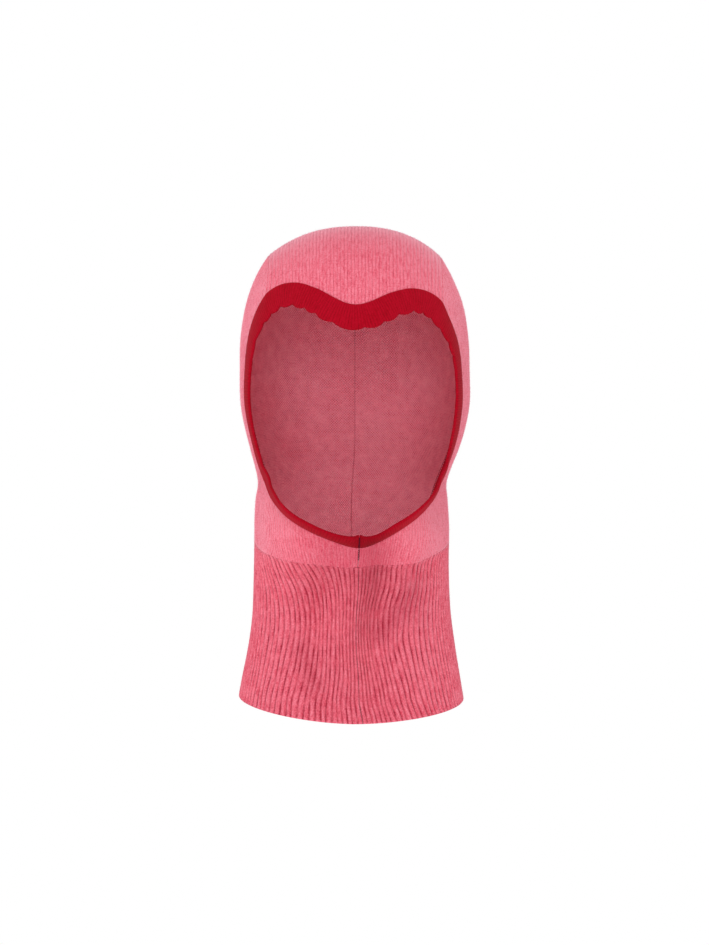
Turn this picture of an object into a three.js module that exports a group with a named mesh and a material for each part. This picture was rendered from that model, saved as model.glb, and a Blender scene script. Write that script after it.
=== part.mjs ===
// A knitted balaclava: a jersey hood with a heart-shaped face opening, edged by a folded band,
// on a flared rib neck. Millimetres, +Z up, the face opening looks along -Y.
// The origin is where the inside of the crown rests on the wearer's head.
import * as THREE from 'three';

// ---- Driving dimensions. Heights are measured from the outside of the crown's top, downwards.
const FABRIC = 2.5;              // thickness of the knitted fabric
const PIECE_GAP = 0.8;           // clearance between pieces that are sewn edge to edge
const CROWN_HEIGHT = 100;        // the dome, from its top to the widest level of the head
const HEAD_HALF_WIDTH = 82.4;
const HEAD_FRONT = 100;          // centre of the head to the front of the forehead
const HEAD_BACK = 102;
const DOME_POWER = 2.5;          // how square the dome is, seen from the front
const CROWN_HALF_WIDTH = 60;     // the crown panel, between its two seams
const TONGUE_START = -28;        // where the crown panel starts to narrow at the back
const TONGUE_END = -50;          // where it ends, at centre back
const SEAM_CREST = 2.7;          // how far the crown seams stand out of the dome
const SEAM_CREST_REACH = 15;
const CREST_FADE = [-75, -50];   // heights between which the crest fades in
const RIB_TOP = { side: -221.5, front: 20, back: 12 };  // height at the sides, and the extra drop
const HEM = { side: -338, front: 10, back: 7 };
const TRIM_WIDTH = 15.5;         // the face band, from its seam to its fold
const CHIN_TRIM_WIDTH = 12;      // the same at the chin, where it is pulled narrow
const CHIN_REACH = 0.2;          // as a share of the opening's way round, each side of the chin
const CURL = 0.3;                // how far it rolls back in towards its fold there, in radians
const TRIM_PROUD = 0.6;          // how far it stands above the hood
const TRIM_BACK = 2.3;           // how far its underside lies below the hood's surface
const TRIM_GAP = 1.9;            // between the band and the hood's edge
const THREAD_RADIUS = 0.8;
const THREAD_DEPTH = FABRIC + 0.6 + THREAD_RADIUS;     // thread centre below the outer surface
const THREAD_STEP = 11;
const SEAM_END = 3.5;            // seams stop this far short of the seam that they run into
const CHIN_SHARE = 0.09;         // the part of a side panel's lower edge that is its seam under the chin
const SEWN_ANGLE = 0.006;        // radians that each half stops short of the middle

// Outer sizes by height, [height, size]: half width, front depth, back depth and squareness.
const HALF_WIDTH = [[-350, 82.5], [-325, 78.5], [-300, 74.2], [-275, 70.9], [-245, 69.9],
  [-215, 69.6], [-195, 68.6], [-184, 67.3], [-175, 69.3], [-160, 74.4], [-143, 79.2],
  [-125, HEAD_HALF_WIDTH - 0.1], [-100, HEAD_HALF_WIDTH]];
const FRONT_DEPTH = [[-350, 80], [-335, 75.5], [-310, 70], [-285, 68], [-262, 69], [-248, 72],
  [-238, 76.5], [-228, 83], [-218, 88], [-206, 91], [-190, 94], [-160, 98], [-125, HEAD_FRONT],
  [-100, HEAD_FRONT]];
const BACK_DEPTH = [[-350, 80], [-315, 70], [-285, 66], [-250, 66.5], [-225, 69], [-200, 75],
  [-175, 85], [-150, 96], [-125, HEAD_BACK], [-100, HEAD_BACK]];
const SQUARENESS = [[-350, 2.6], [-250, 2.6], [-180, 2.4], [-125, 2.3], [-100, 2.3]];

// The face opening's seam, from the dip at the forehead round one side to the chin:
// [angle from the front in degrees, height].
const OPENING = [[0, -62.5], [16, -52.5], [27, -49], [38, -53.5], [50, -69], [58.5, -95],
  [61.3, -130], [60, -166], [47.3, -189.3], [29.5, -207.5], [12, -222], [0, -227.5]];

// How far the band leans out of the hood's surface, by the distance from the dip to the chin: it
// lies on the brow, stands a little off the cheeks and juts forward under the chin.
// [share of the opening's way round, degrees].
const LEAN = [[0, 0], [0.14, 0], [0.19, 7], [0.23, 9], [0.3, 6], [0.341, 8], [0.364, 18], [0.386, 47],
  [0.409, 64], [0.432, 68], [0.455, 63], [0.477, 48], [0.5, 36]];

// ---- Curves
const radians = THREE.MathUtils.degToRad;
const smooth = (low, high, value) => THREE.MathUtils.smoothstep(value, low, high);

// A cubic through a few [x, y] points, level past the last one.
function through(points, x) {
  const last = points.length - 1;
  const at = THREE.MathUtils.clamp(x, points[0][0], points[last][0]);
  let i = 0;
  while (i < last - 1 && at > points[i + 1][0]) i += 1;
  const slope = (k) => {
    if (k === last) return 0;
    const before = points[Math.max(k - 1, 0)];
    const after = points[k + 1];
    return (after[1] - before[1]) / (after[0] - before[0]);
  };
  const width = points[i + 1][0] - points[i][0];
  const t = (at - points[i][0]) / width;
  const blend = points[i][1] * (2 * t ** 3 - 3 * t ** 2 + 1) + points[i + 1][1] * (3 * t ** 2 - 2 * t ** 3);
  return blend + width * (slope(i) * (t ** 3 - 2 * t ** 2 + t) + slope(i + 1) * (t ** 3 - t ** 2));
}

// The whole opening as one loop: t is 0 at the forehead's dip, 0.5 at the chin; x > 0 comes first.
const LOOP = [...OPENING, ...OPENING.slice(1, -1).reverse().map(([angle, height]) => [-angle, height])];

function openingAt(t) {
  const count = LOOP.length;
  const place = ((t % 1) + 1) % 1 * count;
  const i = Math.floor(place);
  const f = place - i;
  const knot = (k) => LOOP[(i + k + count) % count];
  return [0, 1].map((axis) => {
    const [a, b, c, d] = [-1, 0, 1, 2].map((k) => knot(k)[axis]);
    return b + 0.5 * f * (c - a + f * (2 * a - 5 * b + 4 * c - d + f * (3 * (b - c) + d - a)));
  });
}

// ---- The outer surface of the garment
const frontOrBack = (angle) => (Math.cos(angle) > 0 ? FRONT_DEPTH : BACK_DEPTH);

function crest(point) {
  const reach = Math.exp(-Math.abs(Math.abs(point.x) - CROWN_HALF_WIDTH) / SEAM_CREST_REACH);
  const out = point.clone().sub(new THREE.Vector3(0, 0, -CROWN_HEIGHT)).normalize();
  return out.multiplyScalar(SEAM_CREST * reach * smooth(...CREST_FADE, point.z));
}

// The point at an angle from the front (radians, towards +X) and a height, before the seams' crest.
function bare(angle, height) {
  const power = through(SQUARENESS, height);
  const dome = 1 - THREE.MathUtils.clamp(height / CROWN_HEIGHT + 1, 0, 1) ** DOME_POWER;
  const across = (Math.abs(Math.sin(angle)) / through(HALF_WIDTH, height)) ** power;
  const along = (Math.abs(Math.cos(angle)) / through(frontOrBack(angle), height)) ** power;
  const radius = (dome / (across + along)) ** (1 / power);
  return new THREE.Vector3(radius * Math.sin(angle), -radius * Math.cos(angle), height);
}

function surface(angle, height) {
  const point = bare(angle, height);
  return point.add(crest(point));
}

// The crown's profile at a distance x from the middle, from low on the forehead over the top to
// low on the back, as evenly spaced points.
function crownProfile(x) {
  const rest = 1 - (Math.abs(x) / HEAD_HALF_WIDTH) ** SQUARENESS.at(-1)[1];
  const points = [];
  const steps = 240;
  for (let i = 0; i <= steps; i += 1) {
    const turn = Math.PI * i / steps;
    const depth = (rest * Math.cos(turn) ** 2) ** (1 / SQUARENESS.at(-1)[1]);
    const lift = CROWN_HEIGHT * (rest * Math.sin(turn) ** 2) ** (1 / DOME_POWER);
    const y = turn < Math.PI / 2 ? -HEAD_FRONT * depth : HEAD_BACK * depth;
    points.push(new THREE.Vector3(x, y, lift - CROWN_HEIGHT));
  }
  const end = points[steps];
  points.push(new THREE.Vector3(x, end.y, TONGUE_END - 10));
  return points;
}

function tongueEnd(x) {
  const share = Math.min(Math.abs(x) / CROWN_HALF_WIDTH, 1);
  return TONGUE_START + (TONGUE_END - TONGUE_START) * Math.sqrt(1 - share ** 2);
}

// Where on the forehead the opening is x from the middle, as the loop's t.
function foreheadAt(x) {
  let low = 0;
  let high = 0.25;
  for (let i = 0; i < 40; i += 1) {
    const middle = (low + high) / 2;
    const [angle, height] = openingAt(middle);
    if (bare(radians(angle), height).x < Math.abs(x)) low = middle;
    else high = middle;
  }
  return low;
}

// The part of a crown profile between the forehead's edge and the tongue's end, as a polyline.
function crownLine(x) {
  const front = openingAt(foreheadAt(x))[1];
  const back = tongueEnd(x);
  const profile = crownProfile(x);
  const keep = [];
  for (let i = 0; i < profile.length; i += 1) {
    const p = profile[i];
    const limit = p.y < 0 ? front : back;
    const q = profile[i + (p.y < 0 ? 1 : -1)];
    if (p.z >= limit) keep.push(p);
    else if (q && q.z > limit) keep.push(p.clone().lerp(q, (limit - p.z) / (q.z - p.z)));
  }
  return keep;
}

function alongLine(points, share) {
  const lengths = [0];
  for (let i = 1; i < points.length; i += 1) {
    lengths.push(lengths[i - 1] + points[i].distanceTo(points[i - 1]));
  }
  const target = share * lengths.at(-1);
  let i = 1;
  while (i < points.length - 1 && lengths[i] < target) i += 1;
  const f = (target - lengths[i - 1]) / (lengths[i] - lengths[i - 1]);
  return points[i - 1].clone().lerp(points[i], f);
}

// ---- Meshes
// How steeply a term |v / size| ** power of the surface's equation rises at v.
const rise = (v, size, power) => Math.sign(v) * power * Math.abs(v / size) ** (power - 1) / size;

// The direction out of the garment at any point of its surface.
function outward(point) {
  if (point.z > -CROWN_HEIGHT) {
    const power = SQUARENESS.at(-1)[1];
    return new THREE.Vector3(
      rise(point.x, HEAD_HALF_WIDTH, power),
      rise(point.y, point.y < 0 ? HEAD_FRONT : HEAD_BACK, power),
      rise(point.z + CROWN_HEIGHT, CROWN_HEIGHT, DOME_POWER),
    ).normalize();
  }
  const angle = Math.atan2(point.x, -point.y);
  const turn = 0.006;
  const step = 0.5;
  const around = surface(angle + turn, point.z).sub(surface(angle - turn, point.z));
  const upward = surface(angle, point.z + step).sub(surface(angle, point.z - step));
  return around.cross(upward).normalize();
}

const sink = (point, depth) => point.clone().addScaledVector(outward(point), -depth);

// A closed shell of fabric from a grid of points: rows[i][j], its outer side seen counter-clockwise.
function shell(rows, outerDepth, innerDepth, normals = rows.map((row) => row.map(outward))) {
  const width = rows[0].length;
  const flat = rows.flat();
  const out = normals.flat();
  const count = flat.length;
  const points = [outerDepth, innerDepth].flatMap(
    (depth) => flat.map((p, i) => p.clone().addScaledVector(out[i], -depth)),
  );
  const index = [];
  const quad = (a, b, c, d) => index.push(a, b, c, a, c, d);
  for (let i = 0; i + 1 < rows.length; i += 1) {
    for (let j = 0; j + 1 < width; j += 1) {
      const a = i * width + j;
      quad(a, a + 1, a + 1 + width, a + width);
      quad(a + count, a + width + count, a + 1 + width + count, a + 1 + count);
    }
  }
  const last = (rows.length - 1) * width;
  for (let j = 0; j + 1 < width; j += 1) {
    quad(j + 1, j, j + count, j + 1 + count);
    quad(last + j, last + j + 1, last + j + 1 + count, last + j + count);
  }
  for (let i = 0; i + 1 < rows.length; i += 1) {
    const a = i * width;
    const b = a + width - 1;
    quad(a, a + width, a + width + count, a + count);
    quad(b + width, b, b + count, b + width + count);
  }
  const places = points.flatMap((p) => p.toArray());
  const geometry = new THREE.BufferGeometry();
  geometry.setAttribute('position', new THREE.Float32BufferAttribute(places, 3));
  geometry.setIndex(index);
  return geometry;
}

// The left side's grid, as seen from in front, is the right one mirrored, with its rows turned round.
function sided(rows, side) {
  if (side > 0) return rows;
  const mirror = new THREE.Vector3(-1, 1, 1);
  return rows.map((row) => row.map((p) => p.clone().multiply(mirror)).reverse());
}

function thread(points) {
  const path = new THREE.CatmullRomCurve3(points);
  const steps = Math.max(3, Math.round(path.getLength() / THREAD_STEP));
  const section = new THREE.Shape();
  for (let i = 0; i < 6; i += 1) {
    const turn = Math.PI * i / 3;
    const place = [THREAD_RADIUS * Math.cos(turn), THREAD_RADIUS * Math.sin(turn)];
    if (i === 0) section.moveTo(...place);
    else section.lineTo(...place);
  }
  return new THREE.ExtrudeGeometry(section, { steps, extrudePath: path, bevelEnabled: false });
}

// The part of a polyline between two distances from its ends, as evenly spaced sunk points.
function seamPoints(points, startGap, endGap, depth = THREAD_DEPTH) {
  let length = 0;
  for (let i = 1; i < points.length; i += 1) length += points[i].distanceTo(points[i - 1]);
  const count = Math.max(2, Math.round(length / THREAD_STEP));
  const seam = [];
  for (let i = 0; i <= count; i += 1) {
    const share = (startGap + (length - startGap - endGap) * i / count) / length;
    seam.push(sink(alongLine(points, share), depth));
  }
  return seam;
}

// ---- Outlines
const ribTop = (angle) => {
  const drop = Math.cos(angle) > 0 ? RIB_TOP.front : RIB_TOP.back;
  return RIB_TOP.side - drop * Math.abs(Math.cos(angle)) ** 1.5;
};

const hem = (angle) => HEM.side - (Math.cos(angle) > 0 ? HEM.front : HEM.back) * Math.cos(angle) ** 2;

// One crown seam, as a polyline: from the forehead over the top, then in round the tongue's end to
// centre back, with SEAM_CREST left out.
function crownSeam() {
  const line = crownLine(CROWN_HALF_WIDTH);
  const power = SQUARENESS.at(-1)[1];
  const turns = 24;
  for (let i = 1; i <= turns; i += 1) {
    const turn = Math.PI * i / turns / 2;
    const x = CROWN_HALF_WIDTH * Math.cos(turn);
    const z = tongueEnd(x);
    const dome = 1 - Math.max(z / CROWN_HEIGHT + 1, 0) ** DOME_POWER;
    const y = HEAD_BACK * (dome - (x / HEAD_HALF_WIDTH) ** power) ** (1 / power);
    line.push(new THREE.Vector3(x, y, z));
  }
  return line;
}

// A point of the face band: t runs round the opening, share goes from its seam to its fold.
// It leaves the seam at its lean, clear of the hood's edge, and rolls in a little further.
function trimPoint(t, share) {
  const at = (s) => {
    const [angle, height] = openingAt(s);
    return surface(radians(angle), height);
  };
  const start = at(t);
  const forward = at(t + 0.004).sub(at(t - 0.004)).normalize();
  const inward = forward.cross(outward(start)).normalize();
  const chin = 1 - smooth(0, CHIN_REACH, Math.abs(Math.abs(t) - 0.5));
  const length = THREE.MathUtils.lerp(TRIM_WIDTH, CHIN_TRIM_WIDTH, chin);
  const lean = radians(through(LEAN, Math.min(Math.abs(t), 1 - Math.abs(t))));
  const roll = Math.max(CURL * chin, 0.01);
  const flat = TRIM_GAP + length * (Math.sin(lean) - Math.sin(lean - roll * share)) / roll;
  const reached = start.addScaledVector(inward, flat);
  const laid = surface(Math.atan2(reached.x, -reached.y), reached.z);
  return sink(laid, length * (Math.cos(lean) - Math.cos(lean - roll * share)) / roll);
}

function trimOutward(t, share) {
  const step = 0.01;
  const round = trimPoint(t + step / 4, share).sub(trimPoint(t - step / 4, share));
  const inward = trimPoint(t, share + step).sub(trimPoint(t, share - step));
  return inward.cross(round).normalize();
}

// ---- Pieces
const seam = crownSeam();
const corner = foreheadAt(CROWN_HALF_WIDTH);

function crownPanel() {
  const columns = 26;
  const steps = 22;
  const rows = [];
  for (let i = 0; i <= steps; i += 1) rows.push([]);
  for (let j = 0; j <= columns; j += 1) {
    const x = (CROWN_HALF_WIDTH - PIECE_GAP / 2) * Math.sin(Math.PI * (j / columns - 0.5));
    const line = crownLine(x);
    for (let i = 0; i <= steps; i += 1) {
      const p = alongLine(line, i / steps);
      rows[i].push(p.add(crest(p)));
    }
  }
  return shell(rows.map((row) => row.reverse()).reverse(), 0, FABRIC);
}

// A side panel is a patch between four edges, worked out as [angle, height]: the opening, the back
// seam, the crown seam on top, and below it the front seam under the chin and the top of the rib.
function sidePanel(side) {
  const across = 18;
  const up = 38;
  const face = (v) => {
    const [angle, height] = openingAt(0.5 + (corner - 0.5) * v);
    return new THREE.Vector2(radians(angle), height);
  };
  const crown = (u) => {
    const p = alongLine(seam, u);
    return new THREE.Vector2(Math.atan2(p.x, -p.y), p.z);
  };
  const back = (v) => new THREE.Vector2(Math.PI, THREE.MathUtils.lerp(ribTop(Math.PI), TONGUE_END, v));
  const bottom = (u) => {
    if (u < CHIN_SHARE) {
      return new THREE.Vector2(0, THREE.MathUtils.lerp(face(0).y, ribTop(0), u / CHIN_SHARE));
    }
    const angle = Math.PI * (u - CHIN_SHARE) / (1 - CHIN_SHARE);
    return new THREE.Vector2(angle, ribTop(angle));
  };
  const patch = (u, v) => {
    const p = bottom(u).multiplyScalar(1 - v).addScaledVector(crown(u), v);
    p.addScaledVector(face(v), 1 - u).addScaledVector(back(v), u);
    p.addScaledVector(bottom(0), -(1 - u) * (1 - v)).addScaledVector(bottom(1), -u * (1 - v));
    return p.addScaledVector(crown(0), -(1 - u) * v).addScaledVector(crown(1), -u * v);
  };
  const rows = [];
  for (let i = 0; i <= up; i += 1) {
    const row = [];
    for (let j = 0; j <= across; j += 1) {
      const p = patch(j / across, (1 - SEWN_ANGLE) * i / up);
      row.push(surface(THREE.MathUtils.clamp(p.x, SEWN_ANGLE, Math.PI - SEWN_ANGLE), p.y));
    }
    rows.push(row);
  }
  return shell(sided(rows, side), 0, FABRIC);
}

function neckRib(side) {
  const across = 22;
  const up = 5;
  const rows = [];
  for (let i = 0; i <= up; i += 1) {
    const row = [];
    for (let j = 0; j <= across; j += 1) {
      const angle = THREE.MathUtils.lerp(SEWN_ANGLE, Math.PI - SEWN_ANGLE, j / across);
      const top = ribTop(angle) - PIECE_GAP;
      row.push(surface(angle, THREE.MathUtils.lerp(hem(angle), top, i / up)));
    }
    rows.push(row);
  }
  return shell(sided(rows, side), 0, FABRIC);
}

function faceTrim() {
  const around = 96;
  const across = 3;
  const ends = 0.0012;
  const grid = (make) => {
    const rows = [];
    for (let i = 0; i <= around; i += 1) {
      const t = THREE.MathUtils.lerp(-0.5 + ends, 0.5 - ends, i / around);
      const row = [];
      for (let j = 0; j <= across; j += 1) row.push(make(t, j / across));
      rows.push(row);
    }
    return rows;
  };
  return shell(grid(trimPoint), -TRIM_PROUD, TRIM_BACK, grid(trimOutward));
}

// ---- Seam threads, on the inside of the fabric
const flip = (points, side) => points.map((p) => new THREE.Vector3(p.x * side, p.y, p.z));

function crownThread(side) {
  return thread(flip(seamPoints(seam, SEAM_END + TRIM_WIDTH / 3, SEAM_END + 2), side));
}

function uprightThread(angle, top, bottom) {
  const points = [];
  for (let i = 0; i <= 40; i += 1) {
    points.push(surface(angle, THREE.MathUtils.lerp(top, bottom, i / 40)));
  }
  return thread(seamPoints(points, SEAM_END, 0.2));
}

function ribThread(side) {
  const points = [];
  for (let i = 0; i <= 60; i += 1) {
    const angle = Math.PI * i / 60;
    points.push(surface(angle, ribTop(angle) - PIECE_GAP / 2));
  }
  return thread(flip(seamPoints(points, SEAM_END, SEAM_END), side));
}

function trimThread() {
  const points = [];
  for (let i = 0; i <= 160; i += 1) {
    const [angle, height] = openingAt(THREE.MathUtils.lerp(-0.495, 0.495, i / 160));
    points.push(surface(radians(angle), height));
  }
  return thread(seamPoints(points, 0.5, 0.5));
}

function trimEndThread() {
  const proud = TRIM_PROUD + THREAD_RADIUS + 0.3;
  return thread([0.2, 0.5, 0.8].map((share) => (
    trimPoint(0.5, share).addScaledVector(trimOutward(0.5, share), proud)
  )));
}

function chinTack() {
  const chin = OPENING.at(-1)[1];
  const points = [1.5, 5, 8.5].map((below) => surface(0, chin - below));
  return thread(points.map((p) => sink(p, -THREAD_RADIUS - 0.3)));
}

// ---- The model
const model = new THREE.Group();
model.position.z = FABRIC;

const PINK = 0xeb6e81;
const RIB_PINK = 0xde6074;
const RED = 0xa50a20;
const DARK_RED = 0x5a1420;

function add(name, geometry, color, roughness = 0.95) {
  geometry.computeVertexNormals();
  const material = new THREE.MeshStandardMaterial({ color, roughness, metalness: 0 });
  const mesh = new THREE.Mesh(geometry, material);
  mesh.name = name;
  model.add(mesh);
}

add('crown_panel', crownPanel(), PINK);
for (const [name, side] of [['right', 1], ['left', -1]]) {
  add(`${name}_side_panel`, sidePanel(side), PINK);
  add(`${name}_neck_rib`, neckRib(side), RIB_PINK);
  add(`${name}_crown_seam`, crownThread(side), PINK);
  add(`${name}_rib_join`, ribThread(side), PINK);
}
add('face_trim', faceTrim(), RED);
add('trim_join_seam', trimThread(), RED);
add('trim_end_seam', trimEndThread(), DARK_RED);
add('chin_tack', chinTack(), DARK_RED);
add('front_seam', uprightThread(0, OPENING.at(-1)[1], hem(0)), PINK);
add('back_seam', uprightThread(Math.PI, TONGUE_END, hem(Math.PI)), PINK);

export default model;
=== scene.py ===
"""The looks of a knitted balaclava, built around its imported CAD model. Blender 4.5.

Shapes are worked out in millimetres, with heights measured down from the outside of the crown's
top, as in the CAD source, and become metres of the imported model's frame when a mesh is made. left
and right are as seen from in front, so right is +X, and -Y is the front. A piece is worked out for
the even garment, and lay() then moves its points to where they are on the garment as it lies.
"""
import math

import bpy
import numpy as np
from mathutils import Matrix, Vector
from mathutils.kdtree import KDTree


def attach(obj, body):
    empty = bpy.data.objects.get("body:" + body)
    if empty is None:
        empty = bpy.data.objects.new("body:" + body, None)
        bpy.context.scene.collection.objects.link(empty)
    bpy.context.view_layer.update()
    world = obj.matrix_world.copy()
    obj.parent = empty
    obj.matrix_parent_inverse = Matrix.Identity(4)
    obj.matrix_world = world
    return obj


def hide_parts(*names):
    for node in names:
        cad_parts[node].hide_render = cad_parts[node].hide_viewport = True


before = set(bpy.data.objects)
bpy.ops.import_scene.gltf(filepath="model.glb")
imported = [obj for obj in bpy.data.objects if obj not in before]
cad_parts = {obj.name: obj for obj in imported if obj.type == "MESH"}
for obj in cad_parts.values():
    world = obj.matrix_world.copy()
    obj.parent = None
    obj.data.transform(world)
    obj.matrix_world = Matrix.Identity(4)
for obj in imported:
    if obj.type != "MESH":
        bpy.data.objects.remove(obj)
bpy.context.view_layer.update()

# ---- Sizes of the garment, as in the CAD source, in mm and degrees
FABRIC = 2.5                 # the CAD fabric's thickness: the frame's origin is this far below the top
CROWN_HEIGHT = 100.0
HEAD_HALF_WIDTH = 82.4
HEAD_FRONT = 100.0
HEAD_BACK = 102.0
DOME_POWER = 2.5
CROWN_HALF_WIDTH = 60.0
TONGUE_START = -28.0         # the crown panel's end at the back: its corners' height
TONGUE_END = -50.0           # and its middle's
SEAM_CREST = 2.7             # how far the crown's seams stand out
SEAM_CREST_REACH = 15.0
CREST_FADE = (-75.0, -50.0)  # heights between which the crest comes in
# Each line's height at the sides, and how much lower it is at the front and at the back.
RIB_TOP = {"side": -221.5, "front": 20.0, "back": 12.0}
HEM = {"side": -338.0, "front": 10.0, "back": 7.0}
TRIM_WIDTH = 15.5
CHIN_TRIM_WIDTH = 12.0
CHIN_REACH = 0.2             # how far from the chin the band narrows, as a share of the opening
CURL = 0.3                   # how much the band curls at the chin, in radians
TRIM_GAP = 1.9               # between the seam's line and the CAD band
TRIM_START = 0.3             # between the seam's line and the band here
THREAD_DEPTH = 3.3           # of a seam's thread, below the outer surface
WIDEST = -125.0              # the lowest height where the hood has its full width and depth
LOWEST = -352.0              # below every part of the hem
# Each as (height, size), from the hem up. SQUARENESS is the power of the outline's superellipse.
HALF_WIDTH = [(-350, 82.5), (-325, 78.5), (-300, 74.2), (-275, 70.9), (-245, 69.9), (-215, 69.6),
              (-195, 68.6), (-184, 67.3), (-175, 69.3), (-160, 74.4), (-143, 79.2),
              (WIDEST, HEAD_HALF_WIDTH - 0.1), (-CROWN_HEIGHT, HEAD_HALF_WIDTH)]
FRONT_DEPTH = [(-350, 80), (-335, 75.5), (-310, 70), (-285, 68), (-262, 69), (-248, 72),
               (-238, 76.5), (-228, 83), (-218, 88), (-206, 91), (-190, 94), (-160, 98),
               (WIDEST, HEAD_FRONT), (-CROWN_HEIGHT, HEAD_FRONT)]
BACK_DEPTH = [(-350, 80), (-315, 70), (-285, 66), (-250, 66.5), (-225, 69), (-200, 75),
              (-175, 85), (-150, 96), (WIDEST, HEAD_BACK), (-CROWN_HEIGHT, HEAD_BACK)]
SQUARENESS = [(-350, 2.6), (-250, 2.6), (-180, 2.4), (WIDEST, 2.3), (-CROWN_HEIGHT, 2.3)]
HEAD_POWER = SQUARENESS[-1][1]
NAMES = {1: "right", -1: "left"}
METRES_PER_MM = 0.001
# The face opening's right half as (angle from the front, height), from its dip to the chin.
OPENING = [(0, -62.5), (16, -52.5), (27, -49), (38, -53.5), (50, -69), (58.5, -95), (61.3, -130),
           (60, -166), (47.3, -189.3), (29.5, -207.5), (12, -222), (0, -227.5)]
CHIN_HEIGHT = OPENING[-1][1]
# How far the band leans out of the hood's surface, by the place round the opening: 0.5 is the chin.
LEAN = [(0, 0), (0.14, 0), (0.19, 7), (0.23, 9), (0.3, 8), (0.325, 9), (0.345, 16), (0.364, 22),
        (0.386, 40), (0.409, 56), (0.432, 62), (0.455, 60), (0.477, 48), (0.5, 36)]

# ---- The knit, in mm
THICKNESS = 2.1              # of the jersey and the rib, between their outer and inner faces
WALE = 2.4                   # pitch of the jersey's columns of stitches
COURSE = 1.8                 # pitch of its rows
JERSEY_RIDGE = 0.2           # how far a column of stitches stands out
SEAM_ROUND = 0.9             # radius of a sewn edge, turned inwards
JOIN_ROUND = 0.15            # the same where jersey turns into rib
BACK_ROUND = 0.08            # and at the lower part of the back's seam
EDGE_REACH = 2.0             # how far from an edge its rounding can reach
EDGE_SAMPLE = 0.25           # spacing of the points that stand for an edge
RELIEF_START = 1.8           # how far from an edge the stitches reach their full relief
EDGE_COLUMNS = (0.35, 0.6, 0.9)  # a jersey panel's vertices next to its side edge
EDGE_MARGIN = 1.2            # where its even columns start
CROWN_ROWS = 84              # faces along each piece, which lie closer together at its ends
SIDE_ROWS = 34               # above the face opening, and as many below it
RIB_ROWS = 56
RIB_FACES = 8                # faces across each rib
RIBS = 66                    # ribs on each half of the neck
RIB_RIDGE = 1.25             # depth of the grooves between ribs
RIB_COURSE = 1.9             # pitch of the rib's rows, and of the band's
SEAM_SLACK = 0.015           # between two sewn edges
FIBRE_WIDTH = 0.07
FIBRE_LENGTH = 1.5           # of the longest
FIBRE_ROOT = 0.3             # how deep a fibre starts in the fabric
FIBRES = 0.45                # loose fibres per square mm of the outside
BAND_FIBRES = 0.3            # and of the band
SCALLOP = 2.0                # depth of the waves along the band's folded edge, at the top
BAND_HALF = 1.0              # half the folded band's thickness
BAND_LAYER = 0.8             # thickness of each of its two layers
BAND_MIDDLE = -0.4           # its middle layer's height above the hood
BAND_END = 0.4995            # where its two ends meet at the chin, as a share of the opening
BAND_RIDGE = 0.06            # how far its stitches stand out
NECK_RADIUS = 69.0           # the neck's radius at the front seam

# ---- How the garment lies: it hangs a little to one side, with soft folds
HEAD_SHIFT = 0.2
NECK_SHIFT = -2.3
CHIN_SHIFT = 5.0             # the chin's seam is pulled to the right
JAW_SQUEEZE = 0.035          # the opening is narrower at the jaw, as a share of its width
JAW_SHIFT = 1.0              # and is pulled to the left there
CHEEK_PULL = 2.2             # and its right edge is pulled inwards at the cheek
CROWN_SLUMP = 1.3            # the crown's corners are rounder than the head
BROW_TILT = 0.05             # the opening's left corner is higher than its right one
HEM_TILT = 0.035             # the hem's left end is lifted
FRONT_SEAM_X = 4.6           # the neck's front seam is pulled this far to the right
RIPPLE = 0.35                # height of the slow waves all over the cloth
JAW = (-203, 13)             # the jaw's height, and how far above and below it the cloth is moved
CROWN_CORNER = (-38, 24)     # the same for the crown's corners
CHIN_HALF_WIDTH = 22         # of the part that is pulled sideways
# Heights between which a move comes in, from none to full, and where it has two, goes out again.
CHIN_HEIGHTS = ((-262, -235), (-195, -222))
CHEEK_HEIGHTS = ((-185, -150), (-50, -66))
BROW_HEIGHTS = ((-135, -75), (-8, -45))
HEM_HEIGHTS = (-290, -345)
# The ribs are closer together next to the front seam: by how much, and the heights between which
# that comes in, on the right and on the left. On the left they are also bowed, by an angle.
RIB_GATHER = {1: 0.34, -1: 0.2}
GATHER_HEIGHTS = {1: (-352, -285), -1: (-350, -305)}
RIB_BOW = {1: 0.0, -1: 0.07}
# Folds on the neck's front: height, half width, and the line that each follows as (x, height).
FOLDS = [
    (-2.5, 8, [(-22, -252), (-26, -290), (-26, -315), (-16, -333)]),
    (1.8, 6, [(-7, -249), (-13, -280), (-16, -311), (-3, -340)]),
    (3.2, 8, [(43, -232), (32, -268), (26, -282), (22, -297)]),
    (-3.2, 9, [(13, -238), (17, -262), (15, -282), (6, -300)]),
    (-2.5, 7, [(35, -291), (14, -305), (6, -323)]),
    (-2.0, 10, [(-24, -249), (-23, -251)]),
    (2.0, 14, [(-50, -210), (-49, -213)]),
    (2.0, 14, [(52, -215), (51, -218)]),
]
# Painted shade on the front, in its folds and under the chin, and painted highlights (below 0) where it
# faces the light: strength, reach, and the line that each follows as (x, height).
SHADE_AND_HIGHLIGHT_LINES = [
    (0.36, 11, [(9, -226), (13, -245), (17, -265), (13, -285)]),
    (0.2, 15, [(36, -248), (42, -272)]),
    (0.12, 16, [(-20, -236), (-28, -262)]),
    (0.22, 15, [(-12, -230), (4, -232), (20, -230)]),
    (0.22, 8, [(-34, -298), (-24, -322)]),
    (0.2, 7, [(22, -286), (34, -270), (44, -256)]),
    (-0.15, 6, [(32, -238), (24, -264), (12, -290)]),
    (-0.12, 5, [(-10, -262), (-8, -290)]),
    (-0.3, 8, [(-50, -203), (-44, -216)]),
    (-0.25, 8, [(46, -208), (38, -222)]),
]


# ---- Curves
def fade(low, high, value):
    """0 at low, 1 at high and smooth between them. low can be the larger of the two."""
    share = np.clip((np.asarray(value, float) - low) / (high - low), 0, 1)
    return share * share * (3 - 2 * share)


def bell(value, centre, width):
    return np.exp(-((value - centre) / width) ** 2)


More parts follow.
